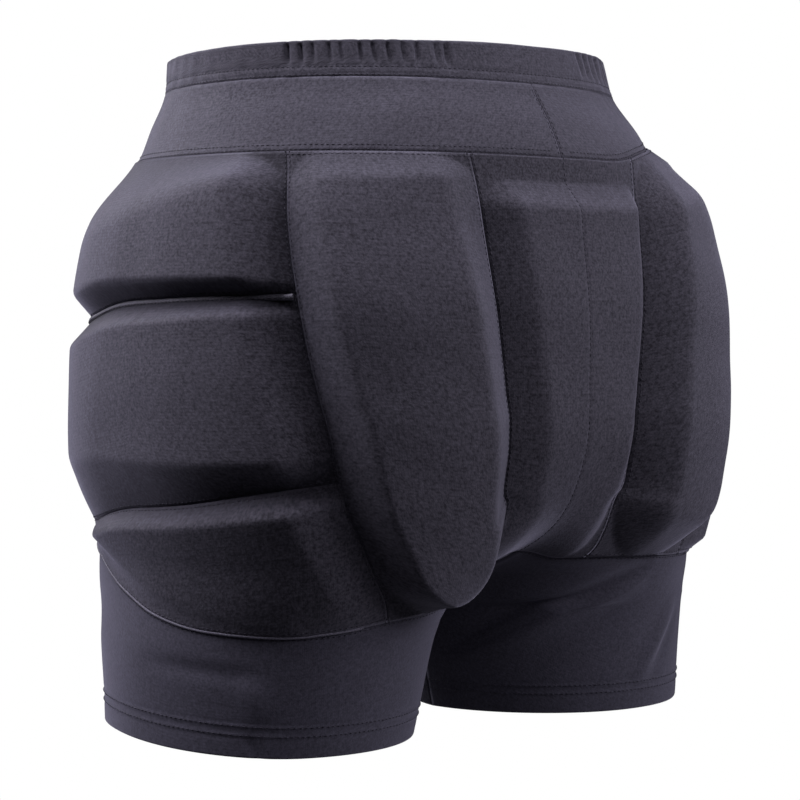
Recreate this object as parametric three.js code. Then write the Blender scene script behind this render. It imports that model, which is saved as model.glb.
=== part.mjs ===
// Padded protective shorts: a stretch-knit garment cut in panels, with foam pads over the hips,
// the seat and the tailbone. Millimetres, +Z up, the wearer faces -Y and their left is +X.
// The origin is the middle of the waist, at the level where the waistband sits on the body.
import * as THREE from 'three';

// Driving sizes
const waistWidth = 263; // side to side at the waistband's top edge
const waistBack = 102; // middle of the waist to the cloth at the back
const waistFront = 113; // middle of the waist to the cloth at the front
const hipWidth = 360; // side to side at the fullest level, without the pads
const hipBack = 132;
const hipFront = 133;
const hipSetBack = 8; // the middle of the hips and legs behind the middle of the waist
const legOuter = 188; // middle plane to the outer side of a leg opening
const legInner = 27; // middle plane to the inner side of a leg opening
const legBack = 86;
const legFront = 82;
const bandRiseBack = 8; // the waistband's top edge above the origin
const bandRiseFront = 3;
const bandDrop = 12; // the band's lower edge below the origin at the back
const bandDip = 2; // how much lower that edge lies at the front
const yokeDrop = 53; // the yoke's lower seam below the origin
const yokeLift = 13; // how far that seam is lifted over the right hip
const rightGrooveShare = 0.86; // how far down the right hip's grooves lie, as a share of the left's
const hipDrop = 185; // the fullest level below the origin
const crotchDrop = 297; // the level where the cloth closes between the legs
const seatDrop = 262; // the padded tier's lower seam at the middle of the back
const tierDrop = 297.5; // the same seam where it hangs lowest, under the seat
const hemDrop = 359; // the lower edge of the leg openings
const hemLift = 8; // how much higher that edge lies at the front of the leg
const hemHeight = 16; // turned-up edge of the leg opening
const bridge = 14; // half the width over which the cloth spans the cleft and the crotch
const clothWall = 2;
const bandWall = 3;
const seamGap = 0.3; // clearance between neighbouring panels
const padGap = 0.5; // clearance under a pad
const padEdge = 2.2; // thickness of a pad at its stitched rim
const grooveHalf = 4; // middle of a groove to the rim of the pad beside it
const rimInset = 2.5; // seam line to the rim of the pad beside it
const hipCorners = { top: 13, bottom: 13 }; // rounding of a pad's corners in plan
const seatCorners = { top: 15, bottom: 34 };
const tailCorners = { top: 13, bottom: 22 };
const hipPadThickness = 15;
const lowerPadThickness = 12;
const seatPadThickness = 21;
const tailPadThickness = 10.5;
const tailTopInset = 12; // yoke seam to the tailbone pad's top rim
const gatherDepth = 1.3; // how far a gather of the waistband swells
const gatherFade = 0.2; // share of the gathered stretch over which the gathers fade in at each end
const swellFullness = 0.85; // below 1 a pad rises steeply from its rim and rounds off into its face
const largestBevel = 0.45; // share of a pad's width or height that one bevel may take
const crotchRowDrop = 0.4; // how far down a leg, at its side, the row through the crotch lies

const clothColour = 0x46434f;
const padColour = 0x413e49;
const bandColour = 0x4b4854;

// Levels of the cloth from the waist down. level counts the named heights: 0 the band's top,
// 1 the yoke seam, 2 the fullest level, 3 the crotch, 4 the hem. side, back and front are 0 at the
// waist's size, 1 at the hips' and 2 at the leg opening's. inner is 0 where the outline mirrors
// its outer side, 1 where the two legs' outlines meet and 2 at the leg's own inner side. square is
// the roundness of the outline: 2 is an ellipse, more is squarer. set is the share of hipSetBack.
const clothLevels = [
  { level: 0, side: 0, inner: 0, back: 0, front: 0, square: 2.15, set: 0 },
  { level: 0.33, side: 0.06, inner: 0, back: 0.15, front: 0.12, square: 2.15, set: 0.3 },
  { level: 0.7, side: 0.26, inner: 0, back: 0.48, front: 0.42, square: 2.25, set: 0.8 },
  { level: 1, side: 0.46, inner: 0, back: 0.7, front: 0.62, square: 2.3, set: 1 },
  { level: 1.28, side: 0.76, inner: 0, back: 0.82, front: 0.86, square: 2.45, set: 1 },
  { level: 1.66, side: 0.94, inner: 0, back: 1, front: 1, square: 2.5, set: 1 },
  { level: 2, side: 1, inner: 0.113, back: 1, front: 1.04, square: 2.5, set: 1 },
  { level: 2.36, side: 1, inner: 0.423, back: 1.15, front: 1.16, square: 2.4, set: 1 },
  { level: 2.65, side: 1, inner: 0.763, back: 1.39, front: 1.37, square: 2.15, set: 1 },
  { level: 2.85, side: 1.37, inner: 0.955, back: 1.61, front: 1.59, square: 2.05, set: 1 },
  { level: 3, side: 1.69, inner: 1, back: 1.74, front: 1.73, square: 2, set: 1 },
  { level: 3.21, side: 1.87, inner: 1.24, back: 1.83, front: 1.8, square: 2, set: 1 },
  { level: 4, side: 2, inner: 2, back: 2, front: 2, square: 2, set: 1 },
];

// The padded tier's lower seam. round is the share of the way from the middle of the back to the
// middle of the front; the fall on each side is 0 at seatDrop and 1 at tierDrop. With the weight on
// the left leg the tier hangs lower on that side.
const tierSeam = [
  { round: 0, left: 0, right: 0 },
  { round: 0.05, left: 0.2, right: 0.15 },
  { round: 0.1, left: 0.52, right: 0.16 },
  { round: 0.16, left: 0.75, right: 0.2 },
  { round: 0.235, left: 0.82, right: 0.24 },
  { round: 0.3, left: 0.94, right: 0.26 },
  { round: 0.36, left: 1, right: 0.26 },
  { round: 0.42, left: 0.95, right: 0.24 },
  { round: 0.48, left: 0.77, right: 0.18 },
  { round: 0.53, left: 0.48, right: 0.1 },
  { round: 0.62, left: 0.03, right: 0 },
  { round: 0.7, left: -0.1, right: -0.1 },
  { round: 1, left: -0.1, right: -0.1 },
];

// How far the yoke's lower seam is lifted on each side, as a share of yokeLift.
const yokeSeamRise = [
  { round: 0, left: 0, right: 0 },
  { round: 0.05, left: 0, right: 0 },
  { round: 0.16, left: 0, right: 0.54 },
  { round: 0.3, left: 0, right: 1 },
  { round: 0.55, left: 0, right: 0.92 },
  { round: 0.8, left: 0, right: 0 },
  { round: 1, left: 0, right: 0 },
];

// The seams that run down the padded tier, as places round the half garment: seat beside the
// tailbone pad, hip behind the hip pads and front before them. down is the share of the height
// from yokeDrop to tierDrop.
const uprightSeams = [
  { down: 0, seat: 0.102, hip: 0.342, front: 0.77 },
  { down: 0.131, seat: 0.081, hip: 0.324, front: 0.77 },
  { down: 0.307, seat: 0.068, hip: 0.302, front: 0.768 },
  { down: 0.5, seat: 0.054, hip: 0.272, front: 0.76 },
  { down: 0.626, seat: 0.043, hip: 0.25, front: 0.752 },
  { down: 0.73, seat: 0.053, hip: 0.24, front: 0.744 },
  { down: 0.814, seat: 0.07, hip: 0.237, front: 0.735 },
  { down: 0.871, seat: 0.08, hip: 0.238, front: 0.728 },
  { down: 1, seat: 0.085, hip: 0.24, front: 0.72 },
];

// The two grooves between the left hip's pads, as shares of the height from yokeDrop to tierDrop.
const grooves = [
  { round: 0.24, upper: 0.294, lower: 0.678 },
  { round: 0.36, upper: 0.3, lower: 0.707 },
  { round: 0.44, upper: 0.303, lower: 0.73 },
  { round: 0.53, upper: 0.312, lower: 0.751 },
  { round: 0.62, upper: 0.338, lower: 0.783 },
  { round: 0.77, upper: 0.36, lower: 0.81 },
];

// How far the hem has risen, 0 at the back and the outer side, 1 at the front.
const hemRise = [
  { round: 0, rise: 0 },
  { round: 0.32, rise: 0 },
  { round: 0.6, rise: 1 },
  { round: 0.8, rise: 0.8 },
  { round: 1, rise: 0 },
];

// The waistband's gathers on each side of the back, between two places round the half garment.
const gathers = { from: 0.085, to: 0.36, count: 12 };

// Where the lower hip pad runs out at the front, as a place round the half garment.
const lowerPadEnd = 0.67;

// Soft creases pressed into the cloth of a leg: a line on the surface from one place to another,
// its half width in millimetres and how far it stands out.
const creases = [
  { side: -1, fromRound: 0.03, fromDrop: 331, toRound: 0.19, toDrop: 283, half: 11, height: 4 },
  { side: -1, fromRound: 0.23, fromDrop: 345, toRound: 0.31, toDrop: 300, half: 8, height: 2 },
  { side: 1, fromRound: 0.36, fromDrop: 341, toRound: 0.39, toDrop: 318, half: 7, height: 1.5 },
];

// Fineness of the faces
const frontColumns = 4;
const yokeRows = 3;
const upperLegShares = [0, 0.25, 0.6, 1];
const lowerLegShares = [0.35, 0.7, 1];
const bandRows = 2;
const bandPlainColumns = 3;
const bandFrontColumns = 8;
const columnsPerGather = 2;
const padColumns = { before: 2, between: 4, after: 2 }; // over a pad's bevels and its face
const crossingPasses = 8; // rounds of correction that find where two seams meet

// Number helpers
const clamp = (value, low, high) => Math.min(high, Math.max(low, value));
const mix = (a, b, share) => a + (b - a) * share;
const curve = (value, power) => Math.sign(value) * Math.abs(value) ** power;
const soft = (share) => share * share * (3 - 2 * share);

// Smooth curve through a table's rows that never swings past them.
function track(rows, across, value) {
  const x = rows.map((row) => row[across]);
  const y = rows.map((row) => row[value]);
  const last = rows.length - 1;
  const step = x.slice(1).map((end, i) => end - x[i]);
  const rise = step.map((run, i) => (y[i + 1] - y[i]) / run);
  const slope = x.map((_, i) => {
    if (i === 0) return rise[0];
    if (i === last) return rise[last - 1];
    if (rise[i - 1] * rise[i] <= 0) return 0;
    const before = 2 * step[i] + step[i - 1];
    const after = step[i] + 2 * step[i - 1];
    return (before + after) / (before / rise[i - 1] + after / rise[i]);
  });
  return (place) => {
    const at = clamp(place, x[0], x[last]);
    let i = 0;
    while (i < last - 1 && at > x[i + 1]) i += 1;
    const t = (at - x[i]) / step[i];
    const start = y[i] * (1 + 2 * t) * (1 - t) ** 2 + slope[i] * step[i] * t * (1 - t) ** 2;
    return start + y[i + 1] * t * t * (3 - 2 * t) - slope[i + 1] * step[i] * t * t * (1 - t);
  };
}

// The cloth's outer face
const heights = [bandRiseBack, -yokeDrop, -hipDrop, -crotchDrop, -hemDrop];

function levelAt(z) {
  let i = 0;
  while (i < heights.length - 2 && z < heights[i + 1]) i += 1;
  return i + clamp((heights[i] - z) / (heights[i] - heights[i + 1]), 0, 1);
}

// The first size at share 0, the second at 1 and the third at 2.
const mixThree = (first, second, third, share) =>
  share < 1 ? mix(first, second, share) : mix(second, third, share - 1);

function sizeTrack(key, waist, hip, leg) {
  const share = track(clothLevels, 'level', key);
  return (level) => mixThree(waist, hip, leg, share(level));
}
const sideAt = sizeTrack('side', waistWidth / 2, hipWidth / 2, legOuter);
const backAt = sizeTrack('back', waistBack, hipBack, legBack);
const frontAt = sizeTrack('front', waistFront, hipFront, legFront);
const innerShareAt = track(clothLevels, 'level', 'inner');
const squareAt = track(clothLevels, 'level', 'square');
const setAt = track(clothLevels, 'level', 'set');

// A point of the cloth. round runs from 0 at the middle of the back, over the left side, to 1 at
// the middle of the front, and below 0 it is the right half. Under the crotch it runs round a leg.
function clothPoint(round, z) {
  const level = levelAt(z);
  const side = sideAt(level);
  const inner = mixThree(-side, bridge, legInner, innerShareAt(level));
  const middle = (side + inner) / 2;
  const reach = (side - inner) / 2;
  const power = 2 / squareAt(level);
  const start = Math.acos(curve(clamp((middle - bridge) / reach, -1, 1), 1 / power));
  const angle = start + 2 * (Math.PI - start) * Math.abs(round);
  const across = middle - reach * curve(Math.cos(angle), power);
  const sine = Math.sin(angle);
  const depth = curve(sine, power) * (sine > 0 ? backAt(level) : frontAt(level));
  const y = depth + hipSetBack * setAt(level);
  const x = Math.sqrt(Math.max(0, across * across - bridge * bridge));
  return new THREE.Vector3(round < 0 ? -x : x, y, z);
}

// Direction out of the cloth.
function clothOutward(round, z) {
  const turn = 0.0005;
  const lift = 0.5;
  const place = clamp(Math.abs(round), turn, 1 - turn);
  const along = clothPoint(place + turn, z).sub(clothPoint(place - turn, z));
  const up = clothPoint(place, z + lift).sub(clothPoint(place, z - lift));
  const out = up.cross(along);
  if (place !== Math.abs(round) && clothPoint(round, z).x === 0) out.x = 0;
  if (round < 0) out.x = -out.x;
  return out.normalize();
}

const offCloth = (round, z, height) =>
  clothPoint(round, z).addScaledVector(clothOutward(round, z), height);

// Length of cloth round half the garment at its fullest level.
function halfGirth() {
  const steps = 80;
  let length = 0;
  for (let i = 0; i < steps; i += 1) {
    const here = clothPoint(i / steps, -hipDrop);
    length += here.distanceTo(clothPoint((i + 1) / steps, -hipDrop));
  }
  return length;
}
const girth = halfGirth();

// Seam lines. side is 1 for the wearer's left and -1 for the right. The right half is made on the
// left and then mirrored, so a seam's place round the garment is below 0 only in the middle pieces.
const wave = (round) => (1 - Math.cos(Math.PI * Math.abs(round))) / 2;
const bandTop = (round) => mix(bandRiseBack, bandRiseFront, wave(round));
const bandBottom = (round) => -bandDrop - bandDip * wave(round);
const sided = (rows) => {
  const left = track(rows, 'round', 'left');
  const right = track(rows, 'round', 'right');
  return (side) => (round) => (side * round < 0 ? right(Math.abs(round)) : left(Math.abs(round)));
};
const seamRiseAt = sided(yokeSeamRise);
const yokeSeam = (side) => {
  const rise = seamRiseAt(side);
  return (round) => -yokeDrop + yokeLift * rise(round);
};
const fallAt = sided(tierSeam);
const tierBottom = (side) => {
  const fall = fallAt(side);
  return (round) => -mix(seatDrop, tierDrop, fall(round));
};
const riseAt = track(hemRise, 'round', 'rise');
const hemBottom = (round) => -hemDrop + hemLift * riseAt(round);
const hemTop = (round) => hemBottom(round) + hemHeight;
const downShare = (z) => (-yokeDrop - z) / (tierDrop - yokeDrop);
const uprightSeam = (key) => {
  const place = track(uprightSeams, 'down', key);
  return (z) => place(downShare(z));
};
const seatSeam = uprightSeam('seat');
const hipSeam = uprightSeam('hip');
const frontSeam = uprightSeam('front');
const grooveLine = (key) => {
  const share = track(grooves, 'round', key);
  return (side) => (round) =>
    -mix(yokeDrop, tierDrop, share(round) * (side > 0 ? 1 : rightGrooveShare));
};
const upperGroove = grooveLine('upper');
const lowerGroove = grooveLine('lower');

// How far the creases lift the cloth of one leg at a place.
function creaseHeight(side, round, z) {
  let height = 0;
  for (const crease of creases) {
    if (crease.side !== side) continue;
    const runX = (crease.toRound - crease.fromRound) * girth;
    const runZ = crease.fromDrop - crease.toDrop;
    const x = (Math.abs(round) - crease.fromRound) * girth;
    const up = z + crease.fromDrop;
    const length = Math.hypot(runX, runZ);
    const along = (x * runX + up * runZ) / length / length;
    const beside = (up * runX - x * runZ) / length / crease.half;
    if (along < 0 || along > 1) continue;
    height += crease.height * Math.sin(Math.PI * along) * Math.exp(-beside * beside);
  }
  return height;
}

// Moves the border of a grid of points inwards by half the seam clearance.
function trimBorder(grid, amount, ring) {
  const shift = (from, towards) =>
    from.clone().addScaledVector(towards.clone().sub(from).normalize(), amount);
  const rows = grid.length;
  const moved = grid.map((row) => row.map((point) => point.clone()));
  for (let c = 0; c < grid[0].length; c += 1) {
    moved[0][c] = shift(moved[0][c], grid[1][c]);
    moved[rows - 1][c] = shift(moved[rows - 1][c], grid[rows - 2][c]);
  }
  if (ring) return moved;
  for (let r = 0; r < rows; r += 1) {
    const ends = grid[r].length - 1;
    moved[r][0] = shift(moved[r][0], grid[r][1]);
    moved[r][ends] = shift(moved[r][ends], grid[r][ends - 1]);
  }
  return moved;
}

// Closed solid between an outer and an inner grid of points. Rows run down, columns run from the
// back towards the front. A ring's last column meets its first.
function shell(outer, inner, ring = false) {
  const rows = outer.length;
  const columns = outer[0].length;
  const positions = [];
  for (const grid of [outer, inner]) {
    for (const row of grid) {
      for (const point of row) positions.push(point.x, point.y, point.z);
    }
  }
  const out = (r, c) => r * columns + (c % columns);
  const back = (r, c) => rows * columns + out(r, c);
  const faces = [];
  const quad = (a, b, c, d) => faces.push(a, b, c, a, c, d);
  const spans = ring ? columns : columns - 1;
  for (let c = 0; c < spans; c += 1) {
    for (let r = 0; r < rows - 1; r += 1) {
      quad(out(r, c), out(r, c + 1), out(r + 1, c + 1), out(r + 1, c));
      quad(back(r, c), back(r + 1, c), back(r + 1, c + 1), back(r, c + 1));
    }
    quad(back(0, c), back(0, c + 1), out(0, c + 1), out(0, c));
    quad(out(rows - 1, c), out(rows - 1, c + 1), back(rows - 1, c + 1), back(rows - 1, c));
  }
  if (!ring) {
    const end = columns - 1;
    for (let r = 0; r < rows - 1; r += 1) {
      quad(out(r, 0), out(r + 1, 0), back(r + 1, 0), back(r, 0));
      quad(back(r, end), back(r + 1, end), out(r + 1, end), out(r, end));
    }
  }
  const geometry = new THREE.BufferGeometry();
  geometry.setAttribute('position', new THREE.Float32BufferAttribute(positions, 3));
  geometry.setIndex(faces);
  geometry.computeVertexNormals();
  return geometry;
}

// The same solid on the wearer's right.
function mirrored(geometry) {
  const copy = geometry.clone();
  copy.scale(-1, 1, 1);
  const index = copy.getIndex().array;
  for (let i = 0; i < index.length; i += 3) {
    [index[i], index[i + 1]] = [index[i + 1], index[i]];
  }
  copy.computeVertexNormals();
  return copy;
}

const evenSteps = (count) => Array.from({ length: count + 1 }, (_, i) => i / count);

// A panel of cloth through a grid of places, each a share round and a height.
function clothPanel(places, wall, ring = false, lift = () => 0) {
  const face = (depth) =>
    places.map((row) => row.map(({ round, z }) => offCloth(round, z, lift(round, z) - depth)));
  const trim = seamGap / 2;
  return shell(trimBorder(face(0), trim, ring), trimBorder(face(wall), trim, ring), ring);
}

// Level rows between two seam lines that run round the garment.
function rowsBetween(rounds, top, bottom, shares) {
  return shares.map((share) =>
    rounds.map((round) => ({ round, z: mix(top(round), bottom(round), share) })),
  );
}

// Rounds the corners of a unit square whose sides are measured in millimetres.
function roundCorner(across, down, width, height, radius) {
  const reach = Math.min(radius, width / 2, height / 2);
  const x = across * width;
  const y = down * height;
  const a = 1 - Math.min(x, width - x) / reach;
  const b = 1 - Math.min(y, height - y) / reach;
  if (a <= 0 || b <= 0) return [across, down];
  const inX = reach * (1 - a * Math.sqrt(1 - (b * b) / 2));
  const inY = reach * (1 - b * Math.sqrt(1 - (a * a) / 2));
  const roundedX = x > width / 2 ? width - inX : inX;
  const roundedY = y > height / 2 ? height - inY : inY;
  return [roundedX / width, roundedY / height];
}

// Shares along a pad that divide its first bevel, its face and its last bevel into faces.
function bevelShares(first, last, length, faces) {
  const start = Math.min(first / length, largestBevel);
  const end = 1 - Math.min(last / length, largestBevel);
  const before = evenSteps(faces.before).map((share) => mix(0, start, share));
  const between = evenSteps(faces.between).map((share) => mix(start, end, share));
  const after = evenSteps(faces.after).map((share) => mix(end, 1, share));
  return [...before.slice(0, -1), ...between, ...after.slice(1)];
}

// Share of a pad's full height at a distance from its rim: steep there, rounded into the face.
function swell(distance, bevel) {
  return Math.sin((Math.PI / 2) * clamp(distance / bevel, 0, 1)) ** swellFullness;
}

// Where a foam pad lies and how high it stands: rows of places on the cloth with the height of the
// pad's crest at each, and the level where each row would meet the seams beside it. The outline
// follows two upright and two level lines; bevels are the widths in millimetres over which the pad
// swells from its rim, above and below as pairs for its ends at the back and at the front.
function padGrid({ left, right, top, bottom, thickness, bevels, faces, corners }) {
  const inset = rimInset / girth;
  const spanAt = (round) => top(round) - bottom(round);
  const levelAtShare = (round, down) => top(round) - down * spanAt(round);
  const middleZ = mix(-yokeDrop, -tierDrop, 0.5);
  const middle = mix(left(middleZ), right(middleZ), 0.5);
  const rim = (seam, down, sign) => {
    const near = seam(levelAtShare(middle, down));
    return seam(levelAtShare(near, down)) + sign * inset;
  };
  const width = (rim(right, 0.5, -1) - rim(left, 0.5, 1)) * girth;
  const height = spanAt(middle);
  const mean = ([atBack, atFront]) => mix(atBack, atFront, 0.5);
  const across = bevelShares(bevels.back, bevels.front, width, padColumns);
  const down = bevelShares(mean(bevels.top), mean(bevels.bottom), height, faces);
  return down.map((y) => {
    const places = across.map((x) => {
      const radius = y < 0.5 ? corners.top : corners.bottom;
      const [shareX, shareY] = roundCorner(x, y, width, height, radius);
      const round = mix(rim(left, shareY, 1), rim(right, shareY, -1), shareX);
      const span = spanAt(round);
      const fullness =
        swell(x * width, bevels.back) *
        swell((1 - x) * width, bevels.front) *
        swell(y * span, mix(...bevels.top, x)) *
        swell((1 - y) * span, mix(...bevels.bottom, x));
      const crest = padGap + mix(padEdge, thickness, fullness);
      return { round, z: levelAtShare(round, shareY), crest };
    });
    const endLevel = (seam, sign) => levelAtShare(rim(seam, y, sign), y);
    return { places, leftZ: endLevel(left, 1), rightZ: endLevel(right, -1) };
  });
}

function foamPad(rows) {
  const face = (heightOf) =>
    rows.map(({ places }) => places.map((at) => offCloth(at.round, at.z, heightOf(at))));
  return shell(face(({ crest }) => crest), face(() => padGap));
}

// Where an upright seam meets a seam that runs round the garment.
function crossing(seam, line) {
  let z = line(seam(-hipDrop));
  for (let pass = 0; pass < crossingPasses; pass += 1) z = line(seam(z));
  return { round: seam(z), z };
}

// The grid of a panel of the padded tier between two upright seams and two level ones. It is cut
// along the same lines as the pads that lie on it, one above the other. Its rows end on the seams at
// the given levels, so that neighbours meet at the same points.
function framedGrid({ left, right, top, bottom }, padRows, leftEnds, rightEnds) {
  const inner = padRows.map(({ places }) => places);
  const rows = inner.map((row, r) => [
    { round: left(leftEnds[r]), z: leftEnds[r] },
    ...row,
    { round: right(rightEnds[r]), z: rightEnds[r] },
  ]);
  const edge = (row, start, end, line) => [
    start,
    ...row.map(({ round }) => ({ round, z: line(round) })),
    end,
  ];
  return [
    edge(inner[0], crossing(left, top), crossing(right, top), top),
    ...rows,
    edge(inner.at(-1), crossing(left, bottom), crossing(right, bottom), bottom),
  ];
}

// The grid of a panel without pads, from its neighbour's edge to the middle of the front.
function plainGrid(neighbourEdge, top, bottom, columns) {
  const first = neighbourEdge[0].z;
  const end = neighbourEdge.at(-1).z;
  return neighbourEdge.map((start) => {
    const down = (first - start.z) / (first - end);
    return evenSteps(columns).map((share) => {
      const round = mix(start.round, 1, share);
      return share === 0 ? start : { round, z: mix(top(round), bottom(round), down) };
    });
  });
}

// Materials
function knit(colour, roughness) {
  return new THREE.MeshStandardMaterial({ color: colour, roughness, metalness: 0 });
}
const clothFinish = knit(clothColour, 0.9);
const padFinish = knit(padColour, 0.85);
const bandFinish = knit(bandColour, 0.9);

const shorts = new THREE.Group();
shorts.name = 'padded_shorts';

function addPiece(name, geometry, finish) {
  const mesh = new THREE.Mesh(geometry, finish);
  mesh.name = name;
  shorts.add(mesh);
}

// A piece of one side, made on the left.
function addSided(side, name, geometry, finish) {
  if (side > 0) addPiece(`${name}_left`, geometry, finish);
  else addPiece(`${name}_right`, mirrored(geometry), finish);
}

// The waistband: one ring, gathered over both back quarters.
function gatherHeight(round) {
  const share = (Math.abs(round) - gathers.from) / (gathers.to - gathers.from);
  if (share <= 0 || share >= 1) return 0;
  const fade = Math.min(1, share / gatherFade, (1 - share) / gatherFade);
  return gatherDepth * fade * Math.cos(2 * Math.PI * gathers.count * share);
}

function bandColumns() {
  const plainBack = evenSteps(bandPlainColumns).map((share) => share * gathers.from);
  const ripple = evenSteps(gathers.count * columnsPerGather).map((share) =>
    mix(gathers.from, gathers.to, share),
  );
  const plainFront = evenSteps(bandFrontColumns).map((share) => mix(gathers.to, 1, share));
  const half = [...plainBack, ...ripple.slice(1), ...plainFront.slice(1)];
  const otherHalf = half.slice(1).map((round) => -round);
  return [...otherHalf.reverse(), ...half.slice(0, -1)];
}

const bandPlaces = rowsBetween(bandColumns(), bandTop, bandBottom, evenSteps(bandRows));
const bandLift = (round, z) => {
  const up = clamp((z - bandBottom(round)) / (bandTop(round) - bandBottom(round)), 0, 1);
  return gatherHeight(round) * soft(Math.min(1, 2 * up));
};
addPiece('waistband', clothPanel(bandPlaces, bandWall, true, bandLift), bandFinish);

// The pads. Each grid has as many rows on both sides of a seam: the three hip pads' together equal
// the seat pad's and the tailbone pad's.
const above = (line, distance) => (round) => line(round) + distance;
const otherSeatSeam = (z) => -seatSeam(z);

function hipPads(side) {
  return [
    {
      name: 'hip_pad_upper',
      right: frontSeam,
      top: above(yokeSeam(side), -rimInset),
      bottom: above(upperGroove(side), grooveHalf),
      thickness: hipPadThickness,
      bevels: { back: 26, front: 24, top: [36, 60], bottom: [7, 7] },
      faces: { before: 2, between: 1, after: 1 },
    },
    {
      name: 'hip_pad_middle',
      right: frontSeam,
      top: above(upperGroove(side), -grooveHalf),
      bottom: above(lowerGroove(side), grooveHalf),
      thickness: hipPadThickness,
      bevels: { back: 30, front: 24, top: [11, 18], bottom: [14, 42] },
      faces: { before: 1, between: 1, after: 2 },
    },
    {
      name: 'hip_pad_lower',
      right: () => lowerPadEnd,
      top: above(lowerGroove(side), -grooveHalf),
      bottom: above(tierBottom(side), rimInset),
      thickness: lowerPadThickness,
      bevels: { back: 30, front: 38, top: [14, 14], bottom: [7, 34] },
      faces: { before: 1, between: 1, after: 1 },
    },
  ].map((pad) => ({ ...pad, rows: padGrid({ ...pad, left: hipSeam, corners: hipCorners }) }));
}

const seatPadOutline = (side) => ({
  left: seatSeam,
  right: hipSeam,
  top: above(yokeSeam(side), -rimInset),
  bottom: above(tierBottom(side), rimInset),
  thickness: seatPadThickness,
  corners: seatCorners,
});
const leftSeatPad = padGrid({
  ...seatPadOutline(1),
  bevels: { back: 25, front: 18, top: [13, 13], bottom: [22, 18] },
  faces: { before: 1, between: 10, after: 2 },
});
const rightSeatPad = padGrid({
  ...seatPadOutline(-1),
  bevels: { back: 25, front: 30, top: [32, 38], bottom: [56, 40] },
  faces: { before: 2, between: 8, after: 3 },
});
const tailPad = padGrid({
  left: otherSeatSeam,
  right: seatSeam,
  top: above(yokeSeam(1), -tailTopInset),
  bottom: above(tierBottom(1), rimInset),
  thickness: tailPadThickness,
  bevels: { back: 15, front: 15, top: [10, 10], bottom: [76, 76] },
  corners: tailCorners,
  faces: { before: 1, between: 8, after: 4 },
});
addPiece('tailbone_pad', foamPad(tailPad), padFinish);

// The cloth under the tailbone pad
const endLevels = (rows, key) => rows.map((row) => row[key]);
const centreGrid = framedGrid(
  { left: otherSeatSeam, right: seatSeam, top: yokeSeam(1), bottom: tierBottom(1) },
  tailPad,
  endLevels(rightSeatPad, 'leftZ'),
  endLevels(leftSeatPad, 'leftZ'),
);
addPiece('centre_back_panel', clothPanel(centreGrid, clothWall), clothFinish);

// Everything else, one side after the other. The yoke and the legs are cut at the columns where
// the tier's panels end, so that the edges on both sides of a seam trace the same line.
function addSide(side) {
  const add = (name, geometry, finish) => addSided(side, name, geometry, finish);
  const top = yokeSeam(side);
  const bottom = tierBottom(side);
  const hips = hipPads(side);
  const seatPad = side > 0 ? leftSeatPad : rightSeatPad;
  for (const { name, rows } of hips) add(name, foamPad(rows), padFinish);
  add('buttock_pad', foamPad(seatPad), padFinish);

  const sideRows = hips.flatMap(({ rows }) => rows);
  const seatEnds = endLevels(seatPad, 'leftZ');
  const hipEnds = endLevels(sideRows, 'leftZ');
  const frontEnds = endLevels(sideRows, 'rightZ');
  const backEdges = { left: seatSeam, right: hipSeam, top, bottom };
  const sideEdges = { left: hipSeam, right: frontSeam, top, bottom };
  const backGrid = framedGrid(backEdges, seatPad, seatEnds, hipEnds);
  const sideGrid = framedGrid(sideEdges, sideRows, hipEnds, frontEnds);
  const frontGrid = plainGrid(sideGrid.map((row) => row.at(-1)), top, bottom, frontColumns);
  add('back_panel', clothPanel(backGrid, clothWall), clothFinish);
  add('side_panel', clothPanel(sideGrid, clothWall), clothFinish);
  add('front_panel', clothPanel(frontGrid, clothWall), clothFinish);

  const edgeColumns = (pickRow) => {
    const centre = pickRow(centreGrid).map(({ round }) => side * round);
    const others = [backGrid, sideGrid, frontGrid].flatMap((grid) => pickRow(grid).slice(1));
    const rounds = [...centre.filter((round) => round > -1e-9), ...others.map(({ round }) => round)];
    return rounds.map((round) => Math.max(0, round)).sort((a, b) => a - b);
  };
  const upperColumns = edgeColumns((grid) => grid[0]);
  const lowerColumns = edgeColumns((grid) => grid.at(-1));
  const yokePlaces = rowsBetween(upperColumns, bandBottom, top, evenSteps(yokeRows));
  add('yoke', clothPanel(yokePlaces, clothWall), bandFinish);

  // The leg has a row through the point where the cloth closes between the legs.
  const crotchLine = (round) => {
    const outside = mix(bottom(round), hemTop(round), crotchRowDrop);
    return mix(-crotchDrop, outside, Math.sin(Math.PI * round));
  };
  const legPlaces = [
    ...rowsBetween(lowerColumns, bottom, crotchLine, upperLegShares),
    ...rowsBetween(lowerColumns, crotchLine, hemTop, lowerLegShares),
  ];
  const hemPlaces = rowsBetween(lowerColumns.slice(0, -1), hemTop, hemBottom, evenSteps(1));
  const creased = (places, ring) =>
    clothPanel(places, clothWall, ring, (round, z) => creaseHeight(side, round, z));
  add('leg', creased(legPlaces, false), clothFinish);
  add('hem', creased(hemPlaces, true), clothFinish);
}
addSide(1);
addSide(-1);

export default shorts;
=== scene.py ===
import math

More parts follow.
